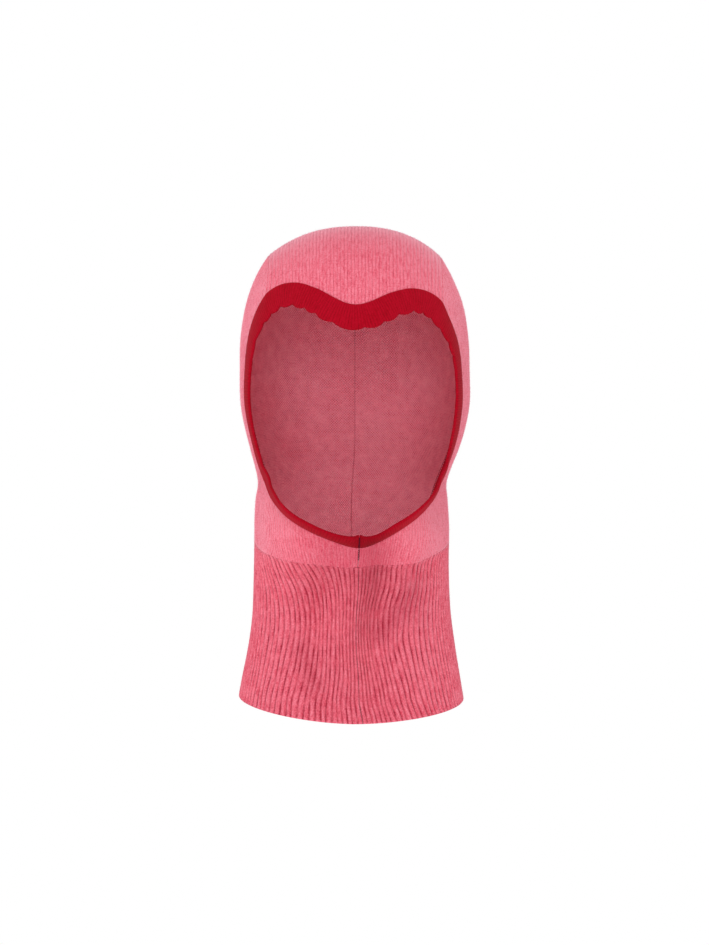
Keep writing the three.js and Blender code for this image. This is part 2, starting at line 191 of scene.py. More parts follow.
def within(value, lower, upper):
    """1 between two soft edges and 0 outside them. Each edge is a pair of values, none and full."""
    return fade(*lower, value) * fade(*upper, value)


def through(points, x):
    """A cubic through a few (x, y) points, level past the last one."""
    xs, ys = np.array(points, float).T
    slopes = np.zeros(len(xs))
    slopes[0] = (ys[1] - ys[0]) / (xs[1] - xs[0])
    slopes[1:-1] = (ys[2:] - ys[:-2]) / (xs[2:] - xs[:-2])
    at = np.clip(x, xs[0], xs[-1])
    i = np.clip(np.searchsorted(xs, at) - 1, 0, len(xs) - 2)
    width = xs[i + 1] - xs[i]
    t = (at - xs[i]) / width
    blend = ys[i] * (2 * t**3 - 3 * t**2 + 1) + ys[i + 1] * (3 * t**2 - 2 * t**3)
    return blend + width * (slopes[i] * (t**3 - 2 * t**2 + t) + slopes[i + 1] * (t**3 - t**2))


LOOP = np.array(OPENING + [(-angle, height) for angle, height in OPENING[-2:0:-1]], float)


def opening_at(t):
    """The face opening's seam as (angle, height): t is 0 at the dip, 0.5 at the chin."""
    count = len(LOOP)
    place = np.mod(np.asarray(t, float), 1) * count
    i = np.floor(place).astype(int)
    f = (place - i)[..., None]
    a, b, c, d = (LOOP[(i + k) % count] for k in (-1, 0, 1, 2))
    knot = b + 0.5 * f * (c - a + f * (2 * a - 5 * b + 4 * c - d + f * (3 * (b - c) + d - a)))
    return np.radians(knot[..., 0]), knot[..., 1]


# ---- The outer surface of the garment
def unit(vectors):
    """The vectors, each made 1 long."""
    return vectors / np.maximum(np.linalg.norm(vectors, axis=-1, keepdims=True), 1e-12)


def crest(points):
    """How far the crown's seams lift the cloth round them, as moves of points of the bare head."""
    reach = np.exp(-np.abs(np.abs(points[..., 0]) - CROWN_HALF_WIDTH) / SEAM_CREST_REACH)
    out = unit(points + np.array([0, 0, CROWN_HEIGHT]))
    return out * (SEAM_CREST * reach * fade(*CREST_FADE, points[..., 2]))[..., None]


def bare(angle, height):
    """The smooth surface at an angle from the front and a height, without the seams' crests."""
    angle, height = np.broadcast_arrays(np.asarray(angle, float), np.asarray(height, float))
    power = through(SQUARENESS, height)
    dome = 1 - np.clip(height / CROWN_HEIGHT + 1, 0, 1) ** DOME_POWER
    depth = np.where(np.cos(angle) > 0, through(FRONT_DEPTH, height), through(BACK_DEPTH, height))
    across = (np.abs(np.sin(angle)) / through(HALF_WIDTH, height)) ** power
    along = (np.abs(np.cos(angle)) / depth) ** power
    radius = (dome / (across + along)) ** (1 / power)
    return np.stack([radius * np.sin(angle), -radius * np.cos(angle), height], axis=-1)


def surface(angle, height):
    """The garment's outer surface at an angle from the front and a height."""
    points = bare(angle, height)
    return points + crest(points)


def outward(points):
    """The direction out of the garment at points of its surface."""
    x, y, z = points[..., 0], points[..., 1], points[..., 2]

    def steep(value, size, power):
        return np.sign(value) * power * np.abs(value / size) ** (power - 1) / size

    dome = unit(np.stack([
        steep(x, HEAD_HALF_WIDTH, HEAD_POWER),
        steep(y, np.where(y < 0, HEAD_FRONT, HEAD_BACK), HEAD_POWER),
        steep(np.maximum(z + CROWN_HEIGHT, 0), CROWN_HEIGHT, DOME_POWER),
    ], axis=-1))
    angle = np.arctan2(x, -y)
    around = surface(angle + 0.006, z) - surface(angle - 0.006, z)
    upward = surface(angle, z + 0.5) - surface(angle, z - 0.5)
    wall = unit(np.cross(around, upward))
    return np.where((z > -CROWN_HEIGHT)[..., None], dome, wall)


def rib_top(angle):
    """The height at which the jersey turns into rib."""
    drop = np.where(np.cos(angle) > 0, RIB_TOP["front"], RIB_TOP["back"])
    return RIB_TOP["side"] - drop * np.abs(np.cos(angle)) ** 1.5


def hem(angle):
    drop = np.where(np.cos(angle) > 0, HEM["front"], HEM["back"])
    return HEM["side"] - drop * np.cos(angle) ** 2


def tongue_end(x):
    """The height of the crown panel's end at the back."""
    share = np.minimum(np.abs(x) / CROWN_HALF_WIDTH, 1)
    return TONGUE_START + (TONGUE_END - TONGUE_START) * np.sqrt(1 - share**2)


def forehead_at(x):
    """Where on the forehead the opening is x from the middle, as the loop's t."""
    low, high = 0.0, 0.25
    for _ in range(40):
        middle = (low + high) / 2
        if bare(*opening_at(middle))[0] < abs(x):
            low = middle
        else:
            high = middle
    return low


def crown_line(x):
    """The crown's profile at x, from the forehead's edge over the top to the tongue's end."""
    turn = np.linspace(0, math.pi, 361)
    rest = 1 - (abs(x) / HEAD_HALF_WIDTH) ** HEAD_POWER
    depth = (rest * np.cos(turn) ** 2) ** (1 / HEAD_POWER)
    z = CROWN_HEIGHT * (rest * np.sin(turn) ** 2) ** (1 / DOME_POWER) - CROWN_HEIGHT
    y = np.where(turn < math.pi / 2, -HEAD_FRONT * depth, HEAD_BACK * depth)
    front = opening_at(forehead_at(x))[1]
    back = tongue_end(x)
    fore, aft = turn < math.pi / 2, turn >= math.pi / 2
    start = (np.interp(front, z[fore], y[fore]), front)
    end = (np.interp(-back, -z[aft], y[aft]), back)
    keep = np.where(fore, z > front, z > back)
    line = np.array([start, *np.stack([y, z], 1)[keep], end])
    return np.column_stack([np.full(len(line), x), line])


def path_length(points):
    """Lengths along a line of points, from its start to each of them."""
    steps = np.linalg.norm(np.diff(points, axis=0), axis=1)
    return np.concatenate([[0], np.cumsum(steps)])


def resample(line, shares):
    """Points at shares of a polyline's length, and the length."""
    places = path_length(line)
    at = np.asarray(shares) * places[-1]
    return np.stack([np.interp(at, places, line[:, k]) for k in range(3)], 1), places[-1]


def crown_seam():
    """The right crown seam, from the forehead over the top and round the tongue's end."""
    x = CROWN_HALF_WIDTH * np.cos(np.linspace(0, math.pi / 2, 61)[1:])
    z = tongue_end(x)
    dome = 1 - (z / CROWN_HEIGHT + 1) ** DOME_POWER
    y = HEAD_BACK * (dome - (x / HEAD_HALF_WIDTH) ** HEAD_POWER) ** (1 / HEAD_POWER)
    return np.concatenate([crown_line(CROWN_HALF_WIDTH), np.stack([x, y, z], 1)])


# ---- How it lies
def near_line(x, z, line):
    """Distance in the front view from each point to a polyline."""
    best = np.full(x.shape, 1e9)
    for (ax, az), (bx, bz) in zip(line, line[1:]):
        dx, dz = bx - ax, bz - az
        t = np.clip(((x - ax) * dx + (z - az) * dz) / (dx * dx + dz * dz), 0, 1)
        best = np.minimum(best, np.hypot(x - ax - t * dx, z - az - t * dz))
    return best


def painted_shading(points):
    """How much shade (above 0) or highlight (below 0) is painted at points in mm, from -1 to 1."""
    x, y, z = points.T
    total = np.zeros(len(points))
    for amount, reach, line in SHADE_AND_HIGHLIGHT_LINES:
        total += amount * bell(near_line(x, z, line), 0, reach)
    return total * fade(20, 45, -y)


def folded(points):
    """Points in mm, pushed out or in by the neck's folds and by slow waves."""
    x, y, z = points.T
    push = np.zeros(len(points))
    for height, reach, line in FOLDS:
        push += height * bell(near_line(x, z, line), 0, reach)
    push *= fade(0, 35, -y)
    push += RIPPLE * np.sin(x / 17 + z / 23) * np.sin(y / 19 - z / 29 + 1.3)
    return points + outward(points) * push[:, None]


def lay(points):
    """Where points in mm of the even garment are once it lies as it does, a little to one side."""
    x, y, z = points.T
    forward = -y
    moved = folded(points)
    front = fade(40, 75, forward)
    head = fade(-200 - 42 * front, -150 - 40 * front, z)
    moved[:, 0] += HEAD_SHIFT * head + NECK_SHIFT * (1 - head)
    chin = within(z, *CHIN_HEIGHTS) * bell(x, 0, CHIN_HALF_WIDTH)
    moved[:, 0] += CHIN_SHIFT * front * chin
    corner = bell(z, *CROWN_CORNER) * fade(20, 65, np.abs(x))
    moved[:, 0] += CROWN_SLUMP * corner * np.where(x < 0, 1.0, -0.5)
    jaw = bell(z, *JAW) * fade(25, 60, forward)
    moved[:, 0] -= jaw * (JAW_SQUEEZE * x + JAW_SHIFT)
    right_cheek = within(z, *CHEEK_HEIGHTS) * fade(15, 50, x) * fade(15, 50, forward)
    moved[:, 0] -= CHEEK_PULL * right_cheek
    moved[:, 2] += HEM_TILT * np.maximum(-x, 0) * fade(*HEM_HEIGHTS, z)
    brow = within(z, *BROW_HEIGHTS) * fade(-20, 40, forward)
    moved[:, 2] -= BROW_TILT * x * brow
    return moved


# ---- Meshes
def cosine(count):
    """Shares from 0 to 1, close together at both ends."""
    return 0.5 - 0.5 * np.cos(np.linspace(0, math.pi, count + 1))


def grid_quads(index):
    """Quads of a grid of vertex numbers."""
    return np.stack([index[:-1, :-1], index[:-1, 1:], index[1:, 1:], index[1:, :-1]], -1).reshape(-1, 4)


def boundary(quads):
    """The directed edges that only one quad has."""
    edges = np.concatenate([quads[:, [k, (k + 1) % 4]] for k in range(4)])
    key = np.sort(edges, axis=1)
    code = key[:, 0].astype(np.int64) * (key.max() + 1) + key[:, 1]
    _, first, count = np.unique(code, return_index=True, return_counts=True)
    return edges[first[count == 1]]


def edge_distance(points, edges, reach):
    """Distance from each point to the piece's edge, up to reach."""
    a, b = points[edges[:, 0]], points[edges[:, 1]]
    parts = np.maximum(np.ceil(np.linalg.norm(b - a, axis=1) / EDGE_SAMPLE).astype(int), 1)
    samples = np.concatenate([a[k] + (b[k] - a[k]) * (np.arange(n) / n)[:, None]
                              for k, n in enumerate(parts)])
    tree = KDTree(len(samples))
    for k, sample in enumerate(samples):
        tree.insert(sample, k)
    tree.balance()
    return np.array([min(tree.find(p)[2], reach) for p in points])


def make_mesh(name, points, faces, materials, face_material=None, attributes=None):
    """A smooth-shaded object from points in mm of the even garment and an array of faces that have
    the same number of corners. attributes are values per point for the materials to read."""
    mesh = bpy.data.meshes.new(name)
    place = lay(points)
    place[:, 2] += FABRIC
    mesh.vertices.add(len(place))
    mesh.vertices.foreach_set("co", (place * METRES_PER_MM).astype(np.float32).ravel())
    mesh.loops.add(faces.size)
    mesh.loops.foreach_set("vertex_index", faces.astype(np.int32).ravel())
    mesh.polygons.add(len(faces))
    mesh.polygons.foreach_set("loop_start", np.arange(0, faces.size, faces.shape[1], dtype=np.int32))
    mesh.update(calc_edges=True)
    mesh.polygons.foreach_set("use_smooth", np.ones(len(faces), bool))
    for material in materials:
        mesh.materials.append(material)
    if face_material is not None:
        mesh.polygons.foreach_set("material_index", face_material.astype(np.int32))
    # Each piece also carries, at its points, how much shade or highlight is painted there.
    for key, values in {"painted_shading": painted_shading(points), **(attributes or {})}.items():
        kind = "FLOAT_VECTOR" if values.ndim == 2 else "FLOAT"
        field = "vector" if values.ndim == 2 else "value"
        attribute = mesh.attributes.new(key, kind, "POINT")
        attribute.data.foreach_set(field, values.astype(np.float32).ravel())
    mesh.validate()
    piece = bpy.data.objects.new(name, mesh)
    bpy.context.scene.collection.objects.link(piece)
    return piece


def fabric(node, points, quads, knit, out, back, radius, materials):
    """A piece of knit and its loose fibres, from a grid of outer points. out and back are the reliefs
    of its two faces, and radius is that of its edges."""
    normals = outward(points)
    first, second, _, fourth = points[quads].transpose(1, 0, 2)
    facing = np.cross(second - first, fourth - first)
    if (facing * normals[quads[:, 0]]).sum() < 0:
        quads = quads[:, ::-1]
    edges = boundary(quads)
    distance = edge_distance(points, edges, EDGE_REACH)
    radius = np.broadcast_to(radius, distance.shape)
    drop = radius - np.sqrt(np.maximum(radius**2 - np.maximum(radius - distance, 0) ** 2, 0))
    settle = fade(0, RELIEF_START, distance)
    outer = points + normals * (out * settle - drop)[:, None]
    inner = points - normals * (THICKNESS - back * settle - drop)[:, None]
    count = len(points)
    walls = np.stack([edges[:, 1], edges[:, 0], edges[:, 0] + count, edges[:, 1] + count], 1)
    faces = np.concatenate([quads, quads[:, ::-1] + count, walls])
    which = np.concatenate([np.zeros(len(quads)), np.ones(len(quads)), np.zeros(len(walls))])
    cloth = make_mesh(f"{node}_cloth", np.concatenate([outer, inner]), faces, materials, which,
                      {"knit": np.tile(knit, (2, 1))})
    seed = len(node)
    return cloth, fuzz(f"{node}_fuzz", outer, quads, FIBRES, PINK_FUZZ, seed)


def fuzz(name, points, quads, density, material, seed, length=FIBRE_LENGTH):
    """Loose fibres that stand off a face of the fabric, each a thin blade: density is per square mm."""
    random = np.random.default_rng(seed)
    a, b, c, d = points[quads].transpose(1, 0, 2)
    twice_area = np.linalg.norm(np.cross(c - a, d - b), axis=1)
    count = int(density * twice_area.sum() / 2)
    chosen = random.choice(len(quads), count, p=twice_area / twice_area.sum())
    u, v = random.random((2, count, 1))
    a, b, c, d = a[chosen], b[chosen], c[chosen], d[chosen]
    root = (a * (1 - u) + b * u) * (1 - v) + (d * (1 - u) + c * u) * v
    out = outward(root)
    loose = unit(np.cross(out, random.normal(size=(count, 3))))
    rise = random.uniform(0.25, 1.0, (count, 1))
    along = unit(out * rise + loose * random.uniform(0.2, 1.0, (count, 1)))
    tip = root + along * length * random.uniform(0.4, 1.0, (count, 1))
    side = unit(np.cross(along, out + loose * 0.3)) * FIBRE_WIDTH / 2
    foot = root - out * FIBRE_ROOT
    blades = np.stack([foot - side, foot + side, tip], 1).reshape(-1, 3)
    return make_mesh(name, blades, np.arange(count * 3).reshape(-1, 3), [material])


def tube(name, path, radius, material, sides=6):
    """A closed tube along a path, which doesn't start in the askew direction."""
    askew = [0.31, 0.77, 0.55]
    forward = unit(np.gradient(path, axis=0))
    side = np.zeros_like(path)
    side[0] = unit(np.cross(forward[0], askew))
    for k in range(1, len(path)):
        side[k] = unit(side[k - 1] - forward[k] * (side[k - 1] @ forward[k]))
    other = np.cross(forward, side)
    turn = np.linspace(0, 2 * math.pi, sides, endpoint=False)
    ring = side[:, None] * np.cos(turn)[:, None] + other[:, None] * np.sin(turn)[:, None]
    points = (path[:, None] + radius * ring).reshape(-1, 3)
    index = np.arange(len(points)).reshape(len(path), sides)
    index = np.column_stack([index, index[:, 0]])
    caps = [[row[0], row[k], row[k + 1], row[k + 2]] for row in (index[0][::-1], index[-1])
            for k in range(1, sides - 2, 2)]
    faces = np.concatenate([grid_quads(index), np.array(caps)])
    return make_mesh(name, points, faces, [material])


# ---- Materials
SHEEN_COLOUR = (252, 200, 214)
SHEEN_ROUGHNESS = 0.4
WOOL_SPECULAR = 0.06
FUZZ_SCALE = 950.0           # noises, in cells per metre: single fibres, patches and soft clouds
PATCH_SCALE = 130.0
CLOUD_SCALE = 28.0
TWIST_SCALE = 1800.0         # and a thread's twist
BUMP_DEPTH = 0.0006          # in metres


class Graph:
    """Adds shader nodes to a new material by short calls."""

    def __init__(self, name):
        self.material = bpy.data.materials.new(name)
        self.material.use_nodes = True
        self.tree = self.material.node_tree
        self.shader = self.tree.nodes["Principled BSDF"]

    def add(self, kind, sockets=None, **settings):
        node = self.tree.nodes.new(kind)
        for key, value in settings.items():
            setattr(node, key, value)
        for key, value in (sockets or {}).items():
            self.link(value, node.inputs[key])
        return node

    def link(self, value, socket):
        if isinstance(value, bpy.types.NodeSocket):
            self.tree.links.new(value, socket)
        else:
            socket.default_value = value

    def math(self, operation, *values):
        node = self.add("ShaderNodeMath", dict(enumerate(values)), operation=operation)
        return node.outputs[0]

    def attribute(self, name):
        """The three numbers of a vector attribute."""
        node = self.add("ShaderNodeAttribute", attribute_name=name)
        return self.add("ShaderNodeSeparateXYZ", {0: node.outputs["Vector"]}).outputs

    def place(self):
        return self.add("ShaderNodeTexCoord").outputs["Object"]

    def noise(self, vector, scale, detail=2.0, roughness=0.5):
        node = self.add("ShaderNodeTexNoise", {
            "Vector": vector, "Scale": scale, "Detail": detail, "Roughness": roughness})
        return node.outputs["Fac"]

    def mix(self, share, first, second):
        node = self.add("ShaderNodeMix", data_type="RGBA")
        self.link(share, node.inputs[0])
        self.link(first, node.inputs[6])
        self.link(second, node.inputs[7])
        return node.outputs[2]

    def ramp(self, value, low, high, to_low=0.0, to_high=1.0):
        node = self.add("ShaderNodeMapRange", {
            "Value": value, "From Min": low, "From Max": high, "To Min": to_low, "To Max": to_high})
        return node.outputs[0]


def linear(red, green, blue):
    """A colour written as sRGB from 0 to 255, as the shader's linear one, but for sRGB's short
    straight stretch next to black."""
    return (*[((c / 255 + 0.055) / 1.055) ** 2.4 for c in (red, green, blue)], 1.0)


def painted_shading_tone(g, tone, dark, pale):
    """Painted shade and painted highlight: darker where the shading attribute is above 0, paler where it
    is below 0.
    """
    shade_here = g.add("ShaderNodeAttribute", attribute_name="painted_shading").outputs["Fac"]
    highlight_here = g.math("MULTIPLY", shade_here, -1.0)
    tone = g.mix(g.math("MAXIMUM", shade_here, 0.0), tone, dark)
    return g.mix(g.math("MAXIMUM", highlight_here, 0.0), tone, pale)


def wool_surface(g, height, fibre, bump, sheen):
    """Everything about the fabric's shader but its colour."""
    relief = g.math("ADD", height, g.math("MULTIPLY", fibre, 0.6))
    bumped = g.add("ShaderNodeBump", {"Height": relief, "Strength": bump, "Distance": BUMP_DEPTH})
    g.link(bumped.outputs[0], g.shader.inputs["Normal"])
    g.link(g.ramp(fibre, 0.2, 0.8, 0.85, 1.0), g.shader.inputs["Roughness"])
    g.shader.inputs["Specular IOR Level"].default_value = WOOL_SPECULAR
    g.shader.inputs["Sheen Weight"].default_value = sheen
    g.shader.inputs["Sheen Roughness"].default_value = SHEEN_ROUGHNESS
    g.shader.inputs["Sheen Tint"].default_value = linear(*SHEEN_COLOUR)


def wool(name, colour, dark, pale, stitch, groove_shade, speckle, sheen, bump=0.4, run=0.22):
    """A knitted wool material. stitch(graph, wale, course) gives the stitches' height, 0 to 1, and
    the groove shade is painted shade: how much darker the lines between stitches are painted.
    speckle is how much pale fibre is mixed in, sheen how much the pale fuzz shows where the fabric
    is seen edge on, and run how short the streaks are."""
    g = Graph(name)
    colour, dark, pale = linear(*colour), linear(*dark), linear(*pale)
    wale, course, _ = g.attribute("knit")
    height = stitch(g, wale, course)
    place = g.place()
    fibre = g.noise(place, FUZZ_SCALE, 2.0, 0.75)
    patch = g.noise(place, PATCH_SCALE, 3.0, 0.6)
    cloud = g.noise(place, CLOUD_SCALE, 2.0)
    strand = g.add("ShaderNodeCombineXYZ", {
        0: g.math("MULTIPLY", wale, 1.7), 1: g.math("MULTIPLY", course, run)})
    streak = g.noise(strand.outputs[0], 1.0, 3.0, 0.75)
    # Pale fibres and clouds, then painted shade in the grooves between stitches, and the dark fibres.
    mixed = g.math("ADD", g.ramp(streak, 0.38, 0.72, 0.0, 0.6), g.ramp(fibre, 0.42, 0.68, 0.0, 0.6))
    tone = g.mix(g.math("MULTIPLY", mixed, speckle), colour, pale)
    tone = g.mix(g.ramp(cloud, 0.35, 0.7, 0.0, 0.18), tone, pale)
    # Painted shade: the lines between stitches are painted darker, more in some patches than in others.
    depth = g.ramp(height, 0.0, 0.6, groove_shade, 0.0)
    tone = g.mix(g.math("MULTIPLY", depth, g.ramp(patch, 0.32, 0.66, 0.25, 1.25)), tone, dark)
    tone = g.mix(g.ramp(fibre, 0.28, 0.44, 0.4 * speckle, 0.0), tone, dark)
    tone = g.mix(g.ramp(streak, 0.28, 0.46, 0.4 * speckle, 0.0), tone, dark)
    g.link(painted_shading_tone(g, tone, dark, pale), g.shader.inputs["Base Color"])
    wool_surface(g, height, fibre, bump, sheen)
    return g.material


def stitch_columns(g, wale, course, slant, low, sharp):
    """Columns of slanting loops. low is the height between two loops of a column, and the line
    between two columns is thinner where sharp is larger."""
    local = g.math("FRACT", wale)
    off = g.math("ABSOLUTE", g.math("SUBTRACT", g.math("MULTIPLY", local, 2.0), 1.0))
    phase = g.math("SUBTRACT", course, g.math("MULTIPLY", off, slant))
    leg = g.ramp(g.math("COSINE", g.math("MULTIPLY", phase, math.tau)), -1.0, 1.0, low, 1.0)
    wall = g.math("SUBTRACT", 1.0, g.math("POWER", off, sharp))
    return g.math("MULTIPLY", leg, wall)


def face_stitch(g, wale, course):
    return stitch_columns(g, wale, course, 0.55, 0.72, 4.0)


def rib_stitch(g, wale, course):
    return stitch_columns(g, wale, course, 0.55, 0.72, 1.8)


def band_stitch(g, wale, course):
    return stitch_columns(g, wale, course, 0.4, 0.6, 3.0)


def purl_stitch(g, wale, course):
    """The half loops of the jersey's back: dots, each row half a loop off the last."""
    across = g.math("COSINE", g.math("MULTIPLY", wale, 1.15 * math.tau))
    along = g.math("COSINE", g.math("MULTIPLY", course, 0.88 * math.tau))
    return g.ramp(g.math("MULTIPLY", across, along), -0.8, 0.8)


def thread_material(name, colour):
    g = Graph(name)
    twist = g.ramp(g.noise(g.place(), TWIST_SCALE, 2.0), 0.3, 0.7)
    shaded = [channel * 0.75 for channel in colour]
    g.link(g.mix(twist, linear(*colour), linear(*shaded)), g.shader.inputs["Base Color"])
    g.shader.inputs["Roughness"].default_value = 0.9
    g.shader.inputs["Specular IOR Level"].default_value = WOOL_SPECULAR
    return g.material


PINK_FACE = wool("jersey_face", (234, 83, 107), (182, 44, 68), (250, 146, 163), face_stitch,
                 groove_shade=0.7, speckle=1.0, sheen=1.0)
PINK_BACK = wool("jersey_back", (255, 140, 160), (196, 70, 92), (255, 190, 204), purl_stitch,
                 groove_shade=0.8, speckle=0.5, sheen=0.0, bump=0.7, run=1.1)
RIB_FACE = wool("rib_face", (223, 76, 98), (160, 32, 54), (250, 142, 159), rib_stitch,
                groove_shade=1.0, speckle=0.9, sheen=0.4)
RED_BAND = wool("band_knit", (165, 0, 24), (100, 0, 10), (198, 16, 46), band_stitch,
                groove_shade=0.5, speckle=0.5, sheen=0.05, bump=0.3)
PINK_FUZZ = thread_material("pink_fuzz", (250, 176, 192))
RED_FUZZ = thread_material("red_fuzz", (176, 20, 44))
PINK_THREAD = thread_material("pink_thread", (214, 88, 107))
INNER_THREAD = thread_material("inner_thread", (246, 118, 140))
RED_THREAD = thread_material("red_thread", (150, 12, 34))
DARK_THREAD = thread_material("dark_thread", (104, 20, 38))


# ---- Cloth pieces
def side_lengths():
    """Heights from the hem up, and the surface's length from the crown's top down to each, for the
    rows of stitches."""
    heights = np.linspace(-0.01, LOWEST, 3000)
    lengths = path_length(surface(np.full(len(heights), math.pi / 2), heights))
    return heights[::-1], lengths[::-1]


LENGTHS = side_lengths()


def jersey(node, points, quads, wale, course, radius=SEAM_ROUND):
    """A piece of jersey. wale and course count its columns and its rows at each point."""
    knit = np.stack([wale, course, np.zeros_like(wale)], 1)
    ridge = JERSEY_RIDGE * np.sin(math.pi * wale) ** 2
    back = 0.4 * JERSEY_RIDGE * np.cos(math.pi * wale) ** 2
    return fabric(node, points, quads, knit, ridge - JERSEY_RIDGE, back, radius, [PINK_FACE, PINK_BACK])


def crown_cloth():
    """The crown panel, from the forehead over the top: a grid whose columns run along it."""
    half = CROWN_HALF_WIDTH - SEAM_SLACK
    inner = np.arange(-half + EDGE_MARGIN, half - EDGE_MARGIN, WALE / 8)
    edge = np.array([0, 0.2, 0.5, 0.85])
    xs = np.concatenate([-half + edge, inner, half - edge[::-1]])
    shares = cosine(CROWN_ROWS)
    points, course = [], []
    for x in xs:
        line, length = resample(crown_line(x), shares)
        points.append(line)
        course.append((shares - 0.5) * length / COURSE)
    points = np.stack(points, 1)
    points = points + crest(points)
    index = np.arange(points.shape[0] * points.shape[1]).reshape(points.shape[:2])
    wale = np.broadcast_to(xs / WALE, index.shape)
    return jersey("crown_panel", points.reshape(-1, 3), grid_quads(index), wale.ravel(),
                  np.stack(course, 1).ravel())


def head_girth():
    """Angles from the front to the back, and the length round the head to each."""
    angles = np.linspace(0, math.pi, 2000)
    return angles, path_length(bare(angles, WIDEST))


def side_columns():
    """The angles of a side panel's columns of vertices."""
    angles, lengths = head_girth()
    even = np.arange(EDGE_MARGIN, lengths[-1] - EDGE_MARGIN, WALE / 6)
    edge = np.array([SEAM_SLACK, *EDGE_COLUMNS])
    reach = np.concatenate([edge, even, lengths[-1] - edge[::-1]])
    return np.interp(reach, lengths, angles)


def side_grid():
    """A side panel's angles, heights and quads: a grid round the head, of a part below and a part
    above a slit, which is opened out to the face opening."""
    angle = side_columns()
    corner = forehead_at(CROWN_HALF_WIDTH)
    around, level = opening_at(np.linspace(corner, 0.5, 4000))
    tip = int(np.argmax(around))
    slit = int(np.searchsorted(angle, around[tip])) - 1
    first = int(np.searchsorted(angle, around[0]))
    upper = np.interp(angle, around[:tip + 1], level[:tip + 1])
    lower = np.interp(angle, around[:tip - 1:-1], level[:tip - 1:-1])
    upper[slit:] = level[tip]
    lower[slit:] = level[tip]
    seam = crown_seam()
    top = np.interp(angle, np.arctan2(seam[:, 0], -seam[:, 1]), seam[:, 2])

    rows = cosine(SIDE_ROWS)[:, None]
    bottom = rib_top(angle)
    low = bottom + (lower - bottom) * rows
    high = upper[first:] + (top[first:] - upper[first:]) * rows
    low_index = np.arange(low.size).reshape(low.shape)
    high_index = low.size + np.arange(high.size).reshape(high.shape)
    high_index[0, slit - first:] = low_index[-1, slit:]
    angles = np.concatenate([np.broadcast_to(angle, low.shape).ravel(),
                             np.broadcast_to(angle[first:], high.shape).ravel()])
    heights = np.concatenate([low.ravel(), high.ravel()])
    quads = np.concatenate([grid_quads(low_index), grid_quads(high_index)])
    used, quads = np.unique(quads, return_inverse=True)
    return angles[used], heights[used], quads.reshape(-1, 4)


def side_cloth(side):
    """A side panel: side is 1 for the right one and -1 for the left one."""
    angles, heights, quads = side_grid()
    points = surface(angles, heights)
    wale = np.interp(angles, *head_girth()) / WALE
    course = -np.interp(heights, *LENGTHS) / COURSE
    near_rib = np.abs(heights - rib_top(angles)) < 1.5
    radius = np.where(near_rib & (angles > 0.02), JOIN_ROUND, SEAM_ROUND)
    at_back = (angles > math.pi - 0.03) * (1 - 0.75 * fade(-130, -175, heights))
    radius = radius + (BACK_ROUND - radius) * at_back
    points[:, 0] *= side
    return jersey(f"{NAMES[side]}_side_panel", points, quads, wale * side, course, radius)


def seam_angle(height):
    """The angle of the neck's front seam, which sways a little on its way down."""
    sway = FRONT_SEAM_X + 1.2 * np.sin((height + 262) / 16) * fade(-350, -300, height)
    sway = sway * fade(-236, -262, height) + 2.5 * fade(-330, -350, height)
    return sway / NECK_RADIUS


def rib_angle(share, height, side):
    """Where a rib is at a height: share is 0 at the front seam and 1 at the back seam."""
    front = seam_angle(height) * side
    plain = share * (math.pi - front)
    held = fade(-238, -275, height) * fade(*GATHER_HEIGHTS[side], height)
    gather = (0.12 + RIB_GATHER[side] * held) * bell(plain, 0, 0.55)
    bow = RIB_BOW[side] * bell(plain, 0.75, 0.35) * bell(height, -282, 26)
    wander = 0.006 * np.sin(plain * 37 + 2 * np.sin(height / 21)) * np.sin(height / 13 + plain * 9)
    wander = wander * fade(0, 0.2, plain) * fade(1, 0.9, share)
    return (front + plain * (1 - gather) - bow + wander) * side


def rib_cloth(side):
    """Half of the neck, from the front seam to the back one, with its ribs as relief."""
    shares = np.arange(RIBS * RIB_FACES + 1) / (RIBS * RIB_FACES)
    share, row = np.broadcast_arrays(shares, cosine(RIB_ROWS)[:, None])
    height = np.full(share.shape, -290.0)
    # A rib's angle depends on its height and its ends' heights on its angle: found by repetition.
    for _ in range(6):
        angle = rib_angle(share, height, side)
        low, high = hem(angle), rib_top(angle) - SEAM_SLACK
        height = low + (high - low) * row
    angle = rib_angle(share, height, side)
    gap = SEAM_SLACK / NECK_RADIUS
    front = seam_angle(height)
    angle = np.maximum(angle, front + gap) if side > 0 else np.minimum(angle, front - gap)
    angle = np.clip(angle, -math.pi + gap, math.pi - gap)
    points = surface(angle, height).reshape(-1, 3)
    phase = (share * RIBS).ravel()
    below_join = (high - height).ravel()
    blend = fade(0, 3.0, below_join)
    away = np.abs(2 * np.mod(phase, 1) - 1)
    ridge = -RIB_RIDGE * away**1.6 * blend
    back_away = np.abs(2 * np.mod(phase + 0.5, 1) - 1)
    back = -RIB_RIDGE * back_away**2.4 * blend + 0.2
    knit = np.stack([phase, height.ravel() / RIB_COURSE, np.zeros_like(phase)], 1)
    radius = np.where(below_join < 1.5, JOIN_ROUND, SEAM_ROUND)
    index = np.arange(len(points)).reshape(share.shape)
    return fabric(f"{NAMES[side]}_neck_rib", points, grid_quads(index), knit, ridge, back, radius,
                  [RIB_FACE, RIB_FACE])


